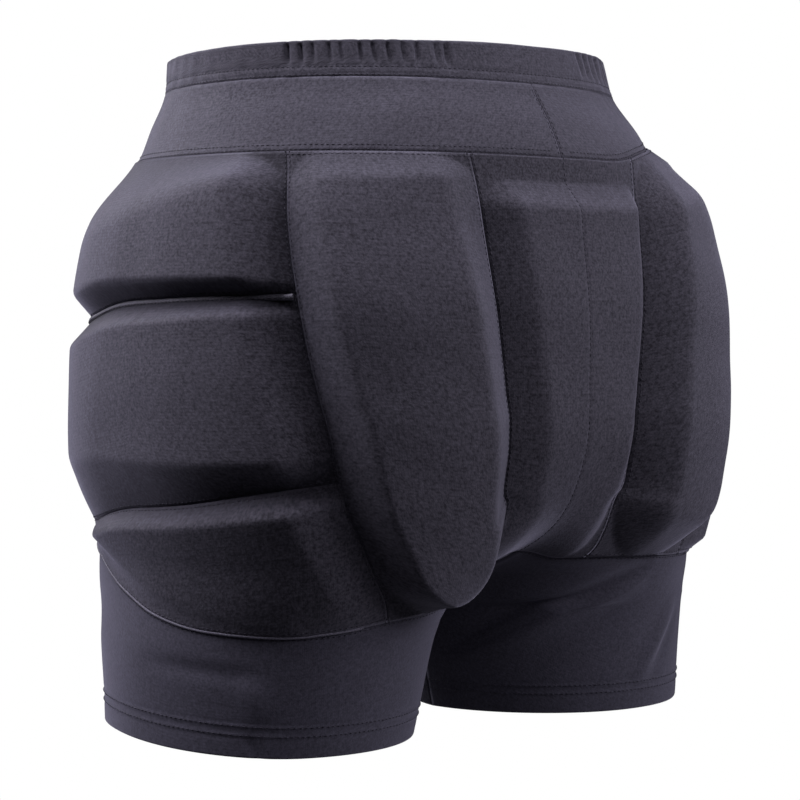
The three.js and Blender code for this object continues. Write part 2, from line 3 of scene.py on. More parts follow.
import bpy
import numpy as np
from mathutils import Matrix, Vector


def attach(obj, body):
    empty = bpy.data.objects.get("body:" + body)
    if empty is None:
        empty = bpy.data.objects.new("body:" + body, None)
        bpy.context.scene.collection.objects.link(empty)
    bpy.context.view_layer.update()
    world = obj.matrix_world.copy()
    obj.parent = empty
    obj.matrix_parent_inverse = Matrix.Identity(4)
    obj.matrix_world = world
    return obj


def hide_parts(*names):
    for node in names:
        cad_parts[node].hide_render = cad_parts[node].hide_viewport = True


# Padded protective shorts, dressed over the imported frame. The garment's surface is worked out in
# millimetres from the same tables as the CAD, and each mesh is made in metres.
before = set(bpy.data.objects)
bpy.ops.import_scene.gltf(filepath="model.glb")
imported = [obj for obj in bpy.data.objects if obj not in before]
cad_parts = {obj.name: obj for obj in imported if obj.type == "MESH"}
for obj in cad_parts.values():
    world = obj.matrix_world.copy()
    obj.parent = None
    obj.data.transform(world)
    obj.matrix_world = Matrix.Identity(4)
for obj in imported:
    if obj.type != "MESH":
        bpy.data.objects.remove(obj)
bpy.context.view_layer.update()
print("frame loaded:", len(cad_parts), "nodes")

millimetre = 0.001

# Sizes of the cut, in millimetres
cut = {
    "waistWidth": 263, "waistBack": 102, "waistFront": 113, "hipSetBack": 8,
    "hipWidth": 360, "hipBack": 132, "hipFront": 133,
    "legOuter": 188, "legInner": 27, "legBack": 86, "legFront": 82,
    "bandRiseBack": 8, "bandRiseFront": 3, "bandDrop": 12, "bandDip": 2,
    "yokeDrop": 53, "hipDrop": 185, "crotchDrop": 297,
    "seatDrop": 262, "tierDrop": 297.5,
    "hemDrop": 359, "hemSag": 0.8, "hemLift": 8, "hemHeight": 16,
    "bridge": 14,  # half the width over which the cloth spans the cleft
    "clothWall": 2, "bandWall": 3,
}

# The garment's levels from the waist down: 0 band top, 1 yoke seam, 2 fullest, 3 crotch, 4 hem.
levels = {
    "level": (0, 0.33, 0.7, 1, 1.28, 1.66, 2, 2.36, 2.65, 2.85, 3, 3.21, 4),
    "side": (0, 0.06, 0.26, 0.46, 0.76, 0.94, 1, 1, 1, 1.37, 1.69, 1.87, 2),
    "inner": (0, 0, 0, 0, 0, 0, 0.113, 0.423, 0.763, 0.955, 1, 1.24, 2),
    "back": (0, 0.15, 0.48, 0.7, 0.82, 1, 1, 1.15, 1.39, 1.61, 1.74, 1.83, 2),
    "front": (0, 0.12, 0.42, 0.62, 0.86, 1, 1.04, 1.16, 1.37, 1.59, 1.73, 1.8, 2),
    "square": (2.15, 2.15, 2.25, 2.3, 2.45, 2.5, 2.5, 2.4, 2.15, 2.05, 2, 2, 2),
    "setBack": (0, 0.3, 0.8, 1, 1, 1, 1, 1, 1, 1, 1, 1, 1),
}
tierSeam = {  # the padded tier's lower seam round half the garment
    "round": (0, 0.05, 0.1, 0.16, 0.235, 0.3, 0.36, 0.42, 0.48, 0.53, 0.62, 0.7, 1),
    "fall": (0, 0.2, 0.52, 0.75, 0.82, 0.94, 1, 0.95, 0.77, 0.48, 0.03, -0.1, -0.1),
    "fallRight": (0, 0.15, 0.16, 0.2, 0.24, 0.26, 0.26, 0.24, 0.18, 0.1, 0.0, -0.1, -0.1),
}
yokeRise = {  # millimetres that the yoke's lower seam is lifted on the right
    "round": (0, 0.05, 0.16, 0.3, 0.55, 0.8, 1), "rise": (0, 0, 7, 13, 12, 0, 0),
}
uprightSeams = {  # where the seams down the tier run, by the share of its height
    "down": (0, 0.131, 0.307, 0.5, 0.626, 0.73, 0.814, 0.871, 1),
    "seat": (0.102, 0.081, 0.068, 0.054, 0.043, 0.053, 0.07, 0.08, 0.085),
    "hip": (0.342, 0.324, 0.302, 0.272, 0.25, 0.24, 0.237, 0.238, 0.24),
    "front": (0.77, 0.77, 0.768, 0.76, 0.752, 0.744, 0.735, 0.728, 0.72),
}
grooves = {  # the two grooves between the hip pads
    "round": (0.24, 0.36, 0.44, 0.53, 0.62, 0.77),
    "upper": (0.294, 0.3, 0.303, 0.312, 0.338, 0.36),
    "lower": (0.678, 0.707, 0.73, 0.751, 0.783, 0.81),
}
grooveShare = {"left": 1, "right": 0.86}  # on the right the grooves sit higher
bandRideUp = {"height": 2.2, "turn": -0.2, "reach": 0.22}  # the band rides up a little on the right
hemRise = {"round": (0, 0.32, 0.6, 0.8, 1), "rise": (0, 0, 1, 0.8, 0)}


def mix(a, b, share):
    return a + (b - a) * share


def soft(share):
    return share * share * (3 - 2 * share)


def smoothTrack(places, values):
    # a curve through the rows that never swings past them
    x = np.array(places, float)
    y = np.array(values, float)
    step = np.diff(x)
    rise = np.diff(y) / step
    slope = np.concatenate([rise[:1], rise])
    for i in range(1, len(step)):
        slope[i] = 0
        if rise[i - 1] * rise[i] > 0:
            before = 2 * step[i] + step[i - 1]
            after = step[i] + 2 * step[i - 1]
            slope[i] = (before + after) / (before / rise[i - 1] + after / rise[i])

    def at(place):
        p = np.clip(place, x[0], x[-1])
        i = np.clip(np.searchsorted(x, p, side="left") - 1, 0, len(step) - 1)
        t = (p - x[i]) / step[i]
        start = y[i] * (1 + 2 * t) * (1 - t) ** 2 + slope[i] * step[i] * t * (1 - t) ** 2
        return start + y[i + 1] * t * t * (3 - 2 * t) - slope[i + 1] * step[i] * t * t * (1 - t)

    return at


drops = ("yokeDrop", "hipDrop", "crotchDrop", "hemDrop")
heights = np.array([cut["bandRiseBack"], *(-cut[drop] for drop in drops)], float)


def levelAt(z):
    i = np.clip(np.searchsorted(-heights, -np.asarray(z, float), side="left") - 1, 0, len(heights) - 2)
    return i + np.clip((heights[i] - z) / (heights[i] - heights[i + 1]), 0, 1)


def mixThree(first, second, third, share):
    return np.where(share < 1, mix(first, second, share), mix(second, third, share - 1))


levelTracks = {key: smoothTrack(levels["level"], levels[key]) for key in levels if key != "level"}


def clothPoint(turn, z):
    # turn runs 0 to 1 from the middle of the back over the left side to the middle of the front,
    # and below 0 it is the right half; below the crotch it runs round a leg
    turn, z = np.broadcast_arrays(np.asarray(turn, float), np.asarray(z, float))
    level = levelAt(z)
    side = mixThree(cut["waistWidth"] / 2, cut["hipWidth"] / 2, cut["legOuter"], levelTracks["side"](level))
    back = mixThree(cut["waistBack"], cut["hipBack"], cut["legBack"], levelTracks["back"](level))
    front = mixThree(cut["waistFront"], cut["hipFront"], cut["legFront"], levelTracks["front"](level))
    inner = mixThree(-side, cut["bridge"], cut["legInner"], levelTracks["inner"](level))
    middle, reach = (side + inner) / 2, (side - inner) / 2
    power = 2 / levelTracks["square"](level)

    def curve(value, exponent):
        return np.sign(value) * np.abs(value) ** exponent

    start = np.arccos(curve(np.clip((middle - cut["bridge"]) / reach, -1, 1), 1 / power))
    angle = start + 2 * (math.pi - start) * np.abs(turn)
    across = middle - reach * curve(np.cos(angle), power)
    sine = np.sin(angle)
    y = curve(sine, power) * np.where(sine > 0, back, front)
    x = np.sqrt(np.maximum(0, across * across - cut["bridge"] ** 2))
    y = y + cut["hipSetBack"] * levelTracks["setBack"](level)
    return np.stack([np.where(turn < 0, -x, x), y, z], axis=-1)


def clothOutward(turn, z):
    turn, z = np.broadcast_arrays(np.asarray(turn, float), np.asarray(z, float))
    step, lift = 0.0005, 0.5
    place = np.clip(np.abs(turn), step, 1 - step)
    along = clothPoint(place + step, z) - clothPoint(place - step, z)
    up = clothPoint(place, z + lift) - clothPoint(place, z - lift)
    out = np.cross(up, along)
    onMiddle = (place != np.abs(turn)) & (clothPoint(turn, z)[..., 0] == 0)
    out[..., 0] = np.where(onMiddle, 0, out[..., 0])
    out[..., 0] = np.where(turn < 0, -out[..., 0], out[..., 0])
    return out / np.linalg.norm(out, axis=-1, keepdims=True)


def offCloth(turn, z, height):
    return clothPoint(turn, z) + clothOutward(turn, z) * np.asarray(height, float)[..., None]


girthPoints = clothPoint(np.linspace(0, 1, 81), -cut["hipDrop"])
girth = np.linalg.norm(np.diff(girthPoints, axis=0), axis=1).sum()  # half the garment, at its fullest


# Seam lines
def wave(turn):
    return (1 - np.cos(math.pi * np.abs(turn))) / 2


def bandTop(turn):
    beside = (np.asarray(turn) - bandRideUp["turn"]) / bandRideUp["reach"]
    lifted = bandRideUp["height"] * np.exp(-beside ** 2)
    return mix(cut["bandRiseBack"], cut["bandRiseFront"], wave(turn)) + lifted


def bandBottom(turn):
    return -cut["bandDrop"] - cut["bandDip"] * wave(turn)


fallAt = {"left": smoothTrack(tierSeam["round"], tierSeam["fall"]),
          "right": smoothTrack(tierSeam["round"], tierSeam["fallRight"])}
yokeRiseAt = smoothTrack(yokeRise["round"], yokeRise["rise"])
riseAt = smoothTrack(hemRise["round"], hemRise["rise"])
grooveTracks = {key: smoothTrack(grooves["round"], grooves[key]) for key in ("upper", "lower")}
seamTracks = {key: smoothTrack(uprightSeams["down"], uprightSeams[key]) for key in ("seat", "hip", "front")}


def yokeSeam(side):
    # each seam line is a function of the place round the garment; the two sides hang differently
    def line(turn):
        rise = yokeRiseAt(np.abs(turn))
        onRight = np.asarray(turn) < 0 if side == "centre" else side == "right"
        return -cut["yokeDrop"] + np.where(onRight, rise, 0)

    return line


def tierBottom(side):
    def line(turn):
        place = np.abs(turn)
        onRight = np.asarray(turn) < 0 if side == "centre" else side == "right"
        fall = np.where(onRight, fallAt["right"](place), fallAt["left"](place))
        return -mix(cut["seatDrop"], cut["tierDrop"], fall)

    return line


def hemBottom(turn):
    return -cut["hemDrop"] - cut["hemSag"] + cut["hemLift"] * riseAt(np.abs(turn))


def hemTop(turn):
    return hemBottom(turn) + cut["hemHeight"]


def downShare(z):
    return (-cut["yokeDrop"] - z) / (cut["tierDrop"] - cut["yokeDrop"])


def seatSeam(z):
    return seamTracks["seat"](downShare(z))


def otherSeatSeam(z):
    return -seatSeam(z)


def hipSeam(z):
    return seamTracks["hip"](downShare(z))


def frontSeam(z):
    return seamTracks["front"](downShare(z))


def middleFront(z):
    return 1 + 0 * np.asarray(z, float)


def grooveLine(key):
    # a groove lies at a share of the tier's height
    def forSide(side):
        def line(turn):
            share = grooveShare[side] * grooveTracks[key](turn)
            return -mix(cut["yokeDrop"], cut["tierDrop"], share)

        return line

    return forSide


upperGroove = grooveLine("upper")
lowerGroove = grooveLine("lower")


def crotchLine(side):
    def line(turn):
        outside = mix(tierBottom(side)(turn), hemTop(turn), 0.4)
        return mix(-cut["crotchDrop"], outside, np.sin(math.pi * np.abs(turn)))

    return line


def softNoise(x, y, size, seed):
    # smooth unevenness from a few seeded waves, about -1 to 1
    dice = np.random.default_rng(seed)
    total = 0
    for _ in range(7):
        way = dice.uniform(0, 2 * math.pi)
        length = size * dice.uniform(0.6, 1.7)
        phase = dice.uniform(0, 6.3)
        beside = x * math.cos(way) + y * math.sin(way)
        total = total + np.sin(beside * 2 * math.pi / length + phase)
    return total / 4


# Meshes
def gridFaces(rows, columns, ring, offset, flipped):
    spans = columns if ring else columns - 1
    r, c = np.meshgrid(np.arange(rows - 1), np.arange(spans), indexing="ij")
    n = (c + 1) % columns
    corners = [r * columns + c, r * columns + n, (r + 1) * columns + n, (r + 1) * columns + c]
    if flipped:
        corners.reverse()
    return np.stack([corner.ravel() + offset for corner in corners], axis=1)


def edgeFaces(outer, inner, flipped):
    a, b, c, d = inner[:-1], inner[1:], outer[1:], outer[:-1]
    return np.stack([d, c, b, a] if flipped else [a, b, c, d], axis=1)


def meshFromGrids(name, outer, inner, material, ring=False, mirrored=False, uvShift=0.0, depth=None,
                  laid=None):
    # closed solid between two grids of points in millimetres; rows run down, columns towards the front;
    # laid is the grid that the map is measured on, and depth is the painted shade that darkens the knit at
    # each point
    rows, columns = outer.shape[:2]
    count = rows * columns
    points = np.concatenate([outer.reshape(-1, 3), inner.reshape(-1, 3)]) * millimetre
    index = np.arange(count).reshape(rows, columns)
    top, bottom = index[0], index[-1]
    if ring:
        top, bottom = np.append(top, top[0]), np.append(bottom, bottom[0])
    parts = [
        gridFaces(rows, columns, ring, 0, False),
        gridFaces(rows, columns, ring, count, True),
        edgeFaces(top, top + count, False),
        edgeFaces(bottom, bottom + count, True),
    ]
    if not ring:
        parts.append(edgeFaces(index[:, 0], index[:, 0] + count, True))
        parts.append(edgeFaces(index[:, -1], index[:, -1] + count, False))
    faces = np.concatenate(parts)
    if mirrored:
        points[:, 0] *= -1
        faces = faces[:, ::-1]
    mesh = bpy.data.meshes.new(name)
    mesh.vertices.add(len(points))
    mesh.vertices.foreach_set("co", points.astype(np.float32).ravel())
    mesh.loops.add(faces.size)
    mesh.loops.foreach_set("vertex_index", faces.astype(np.int32).ravel())
    mesh.polygons.add(len(faces))
    mesh.polygons.foreach_set("loop_start", np.arange(0, faces.size, 4, dtype=np.int32))
    mesh.update(calc_edges=True)
    # the piece's own map: metres along its rows and down its columns
    laid = outer if laid is None else laid
    across = np.zeros((rows, columns))
    across[:, 1:] = np.cumsum(np.linalg.norm(np.diff(laid, axis=1), axis=2), axis=1)
    across -= across[:, columns // 2][:, None]
    down = np.zeros((rows, columns))
    down[1:] = np.cumsum(np.linalg.norm(np.diff(laid, axis=0), axis=2), axis=0)
    flat = np.stack([across, -down], axis=-1).reshape(-1, 2) * millimetre + uvShift
    flat = np.concatenate([flat, flat])
    layer = mesh.uv_layers.new(name="cloth")
    layer.data.foreach_set("uv", flat[faces.ravel()].astype(np.float32).ravel())
    if depth is not None:
        both = np.concatenate([depth.ravel(), depth.ravel()]).astype(np.float32)
        mesh.attributes.new("depth", "FLOAT", "POINT").data.foreach_set("value", both)
    mesh.polygons.foreach_set("use_smooth", np.ones(len(faces), dtype=bool))
    mesh.materials.append(material)
    mesh.validate()
    piece = bpy.data.objects.new(name, mesh)
    bpy.context.collection.objects.link(piece)
    return piece


def roundedWall(distance, wall):
    # how far both faces of a folded edge draw in towards the middle of the wall
    near = np.clip(distance / (wall / 2), 0, 1)
    return wall / 2 * (1 - np.sqrt(1 - (1 - near) ** 2))


def evenly(length, spacing):
    return np.linspace(0, 1, max(2, int(round(length / spacing)) + 1))


def foldedShares(length, spacing, wall, atStart, atEnd):
    # shares along a strip, closer together where an edge is folded round
    shares = list(evenly(length, spacing))
    closer = [0.04, 0.12, 0.25, 0.5]
    if atStart:
        shares += [wall * share / length for share in closer]
    if atEnd:
        shares += [1 - wall * share / length for share in closer]
    return np.unique(np.round(shares, 6))


# Materials
class Signal:
    # a socket that takes part in Python sums; other nodes are added with add()
    def __init__(self, tree, socket=None):
        self.tree = tree
        self.socket = socket

    def add(self, kind, settings=None, inputs=None, output=0):
        made = self.tree.nodes.new(kind)
        for key, value in (settings or {}).items():
            if key == "stops":
                for i, (place, colour) in enumerate(value):
                    stop = made.color_ramp.elements[i] if i < 2 else made.color_ramp.elements.new(place)
                    stop.position = place
                    stop.color = colour
            else:
                setattr(made, key, value)
        for key, value in (inputs or {}).items():
            if isinstance(value, Signal):
                self.tree.links.new(value.socket, made.inputs[key])
            else:
                made.inputs[key].default_value = value
        return Signal(self.tree, made.outputs[output] if len(made.outputs) else None)

    def sum(self, operation, first, second=0.0):
        return self.add("ShaderNodeMath", {"operation": operation}, {0: first, 1: second})

    def __add__(self, other):
        return self.sum("ADD", self, other)

    def __mul__(self, other):
        return self.sum("MULTIPLY", self, other)

    def __sub__(self, other):
        return self.sum("SUBTRACT", self, other)

    def __rsub__(self, other):
        return self.sum("SUBTRACT", other, self)

    def __abs__(self):
        return self.sum("ABSOLUTE", self)

    def out(self, name):
        return Signal(self.tree, self.socket.node.outputs[name])

    def fraction(self):
        return self.sum("FRACT", self)

    def sine(self):
        return self.sum("SINE", self)

    def between(self, low, high, fromLow=0.0, fromHigh=1.0):
        return self.add("ShaderNodeMapRange", {}, {
            "Value": self, "From Min": fromLow, "From Max": fromHigh, "To Min": low, "To Max": high})


gleam = {"Specular IOR Level": 0.2, "Specular Tint": (0.8, 0.74, 1.0, 1.0)}  # of knit and thread
knitLook = {
    "wale": 0.0011,  # width of a column of stitches, in metres
    "course": 0.0008,  # height of a row of stitches
    "slant": 3.6,  # how far the two legs of a stitch lean together
    "ridge": 0.00016,  # how high a stitch stands
    "heatherSize": 0.0014, "slubSize": 0.003, "patchSize": 0.02,
    # how much lighter or darker the knit gets: by its stitches, its patches, its slubs, and by painted shade
    # in the seams and grooves and over some pads' faces
    "middleTone": 0.46, "stitchTone": 0.07, "patchTone": 0.05, "slubShare": 0.6, "paintedShadeTone": 0.4,
    "roughness": 0.82, "roughnessSpread": 0.06,
    "sheenRoughness": 0.45, "sheenTint": (0.74, 0.7, 1.0, 1.0),
}
threadLook = {"twist": 0.0006, "roughness": 0.6, "bump": 0.0001}


def emptyMaterial(name):
    material = bpy.data.materials.new(name)
    material.use_nodes = True
    material.node_tree.nodes.clear()
    return material, Signal(material.node_tree)


def knitMaterial(name, dark, light, heather, sheen, relief):
    look = knitLook
    material, start = emptyMaterial(name)
    flat = start.add("ShaderNodeUVMap", {"uv_map": "cloth"})

    def noise(size, detail, roughness):
        return start.add("ShaderNodeTexNoise", {"noise_dimensions": "2D"}, {
            "Vector": flat, "Scale": 1 / size, "Detail": detail, "Roughness": roughness})

    split = start.add("ShaderNodeSeparateXYZ", {}, {"Vector": flat})
    lean = abs((split.out("X") * (1 / look["wale"])).fraction() - 0.5)
    rise = (split.out("Y") * (math.pi / look["course"]) + lean * look["slant"]).sine()
    stitch = (1 - lean * lean * 4) * (rise * 0.5 + 0.5)
    fleck = noise(look["heatherSize"], 2.0, 0.7)
    patch = noise(look["patchSize"], 3.0, 0.55)
    slub = noise(look["slubSize"], 1.0, 0.5)
    tone = fleck.between(-heather, heather, 0.3, 0.7)
    tone = tone + patch.between(-look["patchTone"], look["patchTone"], 0.3, 0.7)
    tone = tone + slub.between(-heather, heather, 0.25, 0.75) * look["slubShare"]
    tone = tone + stitch * look["stitchTone"] + look["middleTone"]
    # painted shade: the depth attribute darkens the knit in the seams and grooves between the pads, where
    # shade falls, and over the face of the lower hip pad, which lies in shade
    paintedShade = start.add("ShaderNodeAttribute", {"attribute_name": "depth"}).out("Fac")
    tone = tone - paintedShade * look["paintedShadeTone"]
    colour = start.add("ShaderNodeValToRGB", {"stops": [(0.0, dark), (1.0, light)]}, {"Fac": tone})
    bump = start.add("ShaderNodeBump", {}, {
        "Strength": 0.6, "Distance": look["ridge"] * relief, "Height": stitch * 0.35 + fleck * 1.3})
    spread = look["roughnessSpread"]
    surface = start.add("ShaderNodeBsdfPrincipled", {}, {
        "Base Color": colour, "Normal": bump, **gleam,
        "Roughness": patch.between(look["roughness"] - spread, look["roughness"] + spread),
        "Sheen Weight": sheen, "Sheen Roughness": look["sheenRoughness"], "Sheen Tint": look["sheenTint"]})
    start.add("ShaderNodeOutputMaterial", {}, {"Surface": surface})
    return material


def threadMaterial(name, dark, light):
    material, start = emptyMaterial(name)
    place = start.add("ShaderNodeTexCoord", output=3)
    twist = start.add("ShaderNodeTexNoise", {}, {
        "Vector": place, "Scale": 1 / threadLook["twist"], "Detail": 1.0})
    colour = start.add("ShaderNodeValToRGB", {"stops": [(0.3, dark), (0.7, light)]}, {"Fac": twist})
    bump = start.add("ShaderNodeBump", {}, {
        "Strength": 0.5, "Distance": threadLook["bump"], "Height": twist})
    surface = start.add("ShaderNodeBsdfPrincipled", {}, {
        "Base Color": colour, "Roughness": threadLook["roughness"], "Normal": bump, **gleam})
    start.add("ShaderNodeOutputMaterial", {}, {"Surface": surface})
    return material


knits = {
    # dark and light yarn, how strongly they are mixed, sheen, and the share of a stitch's full relief
    "padKnit": ((0.004, 0.0036, 0.0055, 1), (0.04, 0.0365, 0.051, 1), 0.3, 0.2, 1.0),
    "legKnit": ((0.0065, 0.006, 0.0095, 1), (0.039, 0.0362, 0.055, 1), 0.2, 0.2, 0.7),
    "yokeKnit": ((0.005, 0.0045, 0.0068, 1), (0.042, 0.0385, 0.054, 1), 0.27, 0.16, 1.0),
    # the lining is a real under layer; its darker yarn is painted shade for the seam gaps between the pads,
    # where shade falls
    "liningShadeKnit": ((0.006, 0.0055, 0.008, 1), (0.03, 0.028, 0.038, 1), 0.2, 0.08, 1.0),
}
padKnit, legKnit, yokeKnit, liningShadeKnit = (knitMaterial(name, *look) for name, look in knits.items())
seamThread = threadMaterial("seamThread", (0.005, 0.0045, 0.0075, 1), (0.022, 0.02, 0.031, 1))
# painted light: the welt's yarn is lighter than the pads' so that the ridge looks lit inside the shaded
# groove
weltPaintedLight = threadMaterial("weltPaintedLight", (0.03, 0.028, 0.038, 1), (0.11, 0.103, 0.136, 1))
# painted highlight: the welt along the lower hip pad's seam has lighter yarn, for the bright line where that
# edge catches light
edgePaintedHighlight = threadMaterial("edgePaintedHighlight", (0.03, 0.0275, 0.04, 1), (0.09, 0.083, 0.115, 1))
print("materials made")

# Camera, floor and lights, with the camera where the photograph was taken from
studio = {
    "azimuth": 137.0, "elevation": 1.97, "distance": 1.38, "lens": 109.8, "sensorWidth": 36,
    "aim": (0.0, 0.008, -0.1835), "shiftX": -0.0037,
    "floorLevel": -0.85, "floorRadius": 2.0, "floorColour": (0.07, 0.07, 0.073, 1),
    "worldSeen": 1.0,  # the white background
    "worldLight": 0.03,  # how strongly the surroundings light the shorts
    "lampDistance": 2.2, "lampSize": 1.0,
}


def lookFrom(azimuth, elevation):
    a, e = math.radians(azimuth), math.radians(elevation)
    return Vector((math.sin(a) * math.cos(e), -math.cos(a) * math.cos(e), math.sin(e)))


def placeCamera():
    towards = lookFrom(studio["azimuth"], studio["elevation"])
    data = bpy.data.cameras.new("photoCamera")
    data.lens = studio["lens"]
    data.sensor_width = studio["sensorWidth"]
    data.shift_x = studio["shiftX"]
    camera = bpy.data.objects.new("photoCamera", data)
    bpy.context.collection.objects.link(camera)
    camera.location = Vector(studio["aim"]) + towards * studio["distance"]
    camera.rotation_euler = (-towards).to_track_quat("-Z", "Y").to_euler()
    bpy.context.scene.camera = camera


def placeLight(name, azimuth, elevation, power):
    data = bpy.data.lights.new(name, "AREA")
    data.shape = "DISK"
    data.size = studio["lampSize"]
    data.energy = power
    lamp = bpy.data.objects.new(name, data)
    bpy.context.collection.objects.link(lamp)
    towards = lookFrom(azimuth, elevation)
    lamp.location = Vector(studio["aim"]) + towards * studio["lampDistance"]
    lamp.rotation_euler = (-towards).to_track_quat("-Z", "Y").to_euler()


def placeFloor():
    bpy.ops.mesh.primitive_circle_add(
        vertices=96, radius=studio["floorRadius"], fill_type="NGON", location=(0, 0, studio["floorLevel"]))
    floor = bpy.context.object
    floor.name = "studioFloor"
    material = bpy.data.materials.new("paleFloor")
    material.use_nodes = True
    shader = material.node_tree.nodes["Principled BSDF"]
    shader.inputs["Base Color"].default_value = studio["floorColour"]
    shader.inputs["Roughness"].default_value = 0.9
    floor.data.materials.append(material)


def lightWorld():
    world = bpy.data.worlds.new("studioWorld")
    world.use_nodes = True
    tree = world.node_tree
    seen = Signal(tree).add("ShaderNodeLightPath").out("Is Camera Ray")
    backdrop = tree.nodes["Background"]
    backdrop.inputs["Color"].default_value = (1, 1, 1, 1)
    strength = seen.between(studio["worldLight"], studio["worldSeen"])
    tree.links.new(strength.socket, backdrop.inputs["Strength"])
    bpy.context.scene.world = world


lamps = [
    # name, azimuth, elevation, power; the photograph was taken from azimuth 137
    ("topLamp", 137, 85, 34),
    ("leftRimLamp", 10, 30, 28),
    ("leftHighLamp", 66, 60, 46),
    ("leftSideLamp", 58, 32, 52),
    ("rightSideLamp", 212, 18, 41),
    ("cameraLamp", 177, 30, 12),
    ("rightHighLamp", 228, 45, 10),
    ("rightRimLamp", 250, 14, 5),
]
placeCamera()
lightWorld()
placeFloor()
for lamp in lamps:
    placeLight(*lamp)
bpy.context.scene.view_settings.view_transform = "Standard"
print("studio ready")

# Cloth pieces
clothSheets = []  # piece, its flat width and length in metres, its area, how it is held
bothSides = (("left", False), ("right", True))
sheetLook = {
    "mapShift": 0.0137,  # moves each piece's knit on by a little, so that no two are alike
    "seamGap": 0.15,  # between a panel's edge and its seam line
    "tuckDepth": 0.3, "tuckWidth": 1.4,  # how a seam draws in the cloth beside it
}


def seamTuck(distance):
    return sheetLook["tuckDepth"] * np.exp(-(distance / sheetLook["tuckWidth"]) ** 2)


def measureSheet(outer, ring=False):
    across = np.linalg.norm(np.diff(outer, axis=1), axis=2).sum(axis=1)
    if ring:
        across = across + np.linalg.norm(outer[:, 0] - outer[:, -1], axis=1)
    down = np.linalg.norm(np.diff(outer, axis=0), axis=2).sum(axis=0)
    a = outer[1:, 1:] - outer[:-1, :-1]
    b = outer[1:, :-1] - outer[:-1, 1:]
    area = np.linalg.norm(np.cross(a, b), axis=2).sum() / 2
    if ring:
        a = outer[1:, 0] - outer[:-1, -1]
        b = outer[1:, -1] - outer[:-1, 0]
        area += np.linalg.norm(np.cross(a, b), axis=1).sum() / 2
    return across.max() * millimetre, down.max() * millimetre, area * millimetre ** 2


def makeSheet(name, turn, z, lift, wall, material, held="stretched", ring=False, mirrored=False,
              foldTop=None, foldBottom=None, depth=0.0):
    # turn and z are grids; lift is how far the outer face stands off the cut's surface
    outerLift = lift - depth
    innerLift = outerLift - wall
    for edge in (foldTop, foldBottom):
        if edge is not None:
            draw = roundedWall(edge, wall)
            outerLift = outerLift - draw
            innerLift = innerLift + draw
    outer = offCloth(turn, z, outerLift)
    inner = offCloth(turn, z, innerLift)
    shift = len(clothSheets) * sheetLook["mapShift"]
    piece = meshFromGrids(name, outer, inner, material, ring, mirrored, uvShift=shift)
    width, length, area = measureSheet(outer, ring)
    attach(piece, "root")
    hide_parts(name)
    clothSheets.append((piece, width, length, area, held))


waistbandSizes = {
    "columnSpacing": 1.5, "rowSpacing": 1.0, "height": 20,
    "girthShare": 0.75,  # the band's girth as a share of the fullest
    "gatherFrom": 0.085, "gatherTo": 0.36, "gatherCount": 12, "gatherGirth": 0.76,
    "gatherDepth": 2.5, "gatherHalf": 1.45,
    "gatherFoot": 0.25, "gatherTip": 0.16,  # share of the depth below the tip, and the tip's height
    "seamLine": 0.9, "upperLine": 5.2, "lineDepth": 0.35, "lineWidth": 1.1,
    "unevenness": 0.25, "noiseSize": 22, "noiseSeed": 11,
}


def gatherDepth(turn, z):
    # narrow creases pressed into the band over both back quarters, deepest at the top edge
    sizes = waistbandSizes
    dice = np.random.default_rng(4)
    depth = np.zeros(np.broadcast(turn, z).shape)
    up = np.clip((z - bandBottom(turn)) / (bandTop(turn) - bandBottom(turn)), 0, 1)
    for sign in (1, -1):
        for k in range(sizes["gatherCount"]):
            share = (k + 0.5 + dice.uniform(-0.2, 0.2)) / sizes["gatherCount"]
            place = sign * mix(sizes["gatherFrom"], sizes["gatherTo"], share)
            lean = dice.uniform(-0.004, 0.004)
            strength = dice.uniform(0.65, 1.1)
            beside = (turn - place - lean * (up - 0.5)) * girth * sizes["gatherGirth"]
            depth += strength * np.exp(-(beside / sizes["gatherHalf"]) ** 2)
    depth *= sizes["gatherDepth"] * soft(np.clip(up * 2.6 - 0.5, 0, 1))
    depth *= mix(sizes["gatherFoot"], 1, soft(np.clip((1 - up) / sizes["gatherTip"], 0, 1)))
    return depth


def bandLift(turn, z):
    sizes = waistbandSizes
    over = z - bandBottom(turn)
    lift = sizes["unevenness"] * softNoise(turn * girth, z, sizes["noiseSize"], sizes["noiseSeed"])
    lift = lift - gatherDepth(turn, z)
    for line in (sizes["seamLine"], sizes["upperLine"]):  # the stitching draws the cloth in
        lift -= sizes["lineDepth"] * np.exp(-((over - line) / sizes["lineWidth"]) ** 2)
    return lift


def makeWaistband():
    sizes = waistbandSizes
    columns = int(2 * girth * sizes["girthShare"] / sizes["columnSpacing"])
    turns = np.linspace(-1, 1, columns, endpoint=False)
    shares = foldedShares(sizes["height"], sizes["rowSpacing"], cut["bandWall"], True, False)
    turn, share = np.meshgrid(turns, shares)
    z = mix(bandTop(turn), bandBottom(turn), share)
    span = bandTop(turn) - bandBottom(turn)
    makeSheet("waistband", turn, z, bandLift(turn, z), cut["bandWall"], yokeKnit,
              held="gathered", ring=True, foldTop=share * span)


yokeSizes = {
    "spacing": 2.2, "girthShare": 0.85, "height": 41,
    "unevenness": 0.35, "noiseSize": 46, "noiseSeed": 21,
    "pull": 0.45, "pullLength": 16,  # the gathers' creases run on into the yoke
    "seamStitch": 0.06, "middleDepth": 0.35, "middleWidth": 0.9,  # the seam down the middle of the back
}
nearMiddle = (0.013, 0.05, 0.14, 0.32, 0.6)  # columns that resolve a seam down the middle of the back


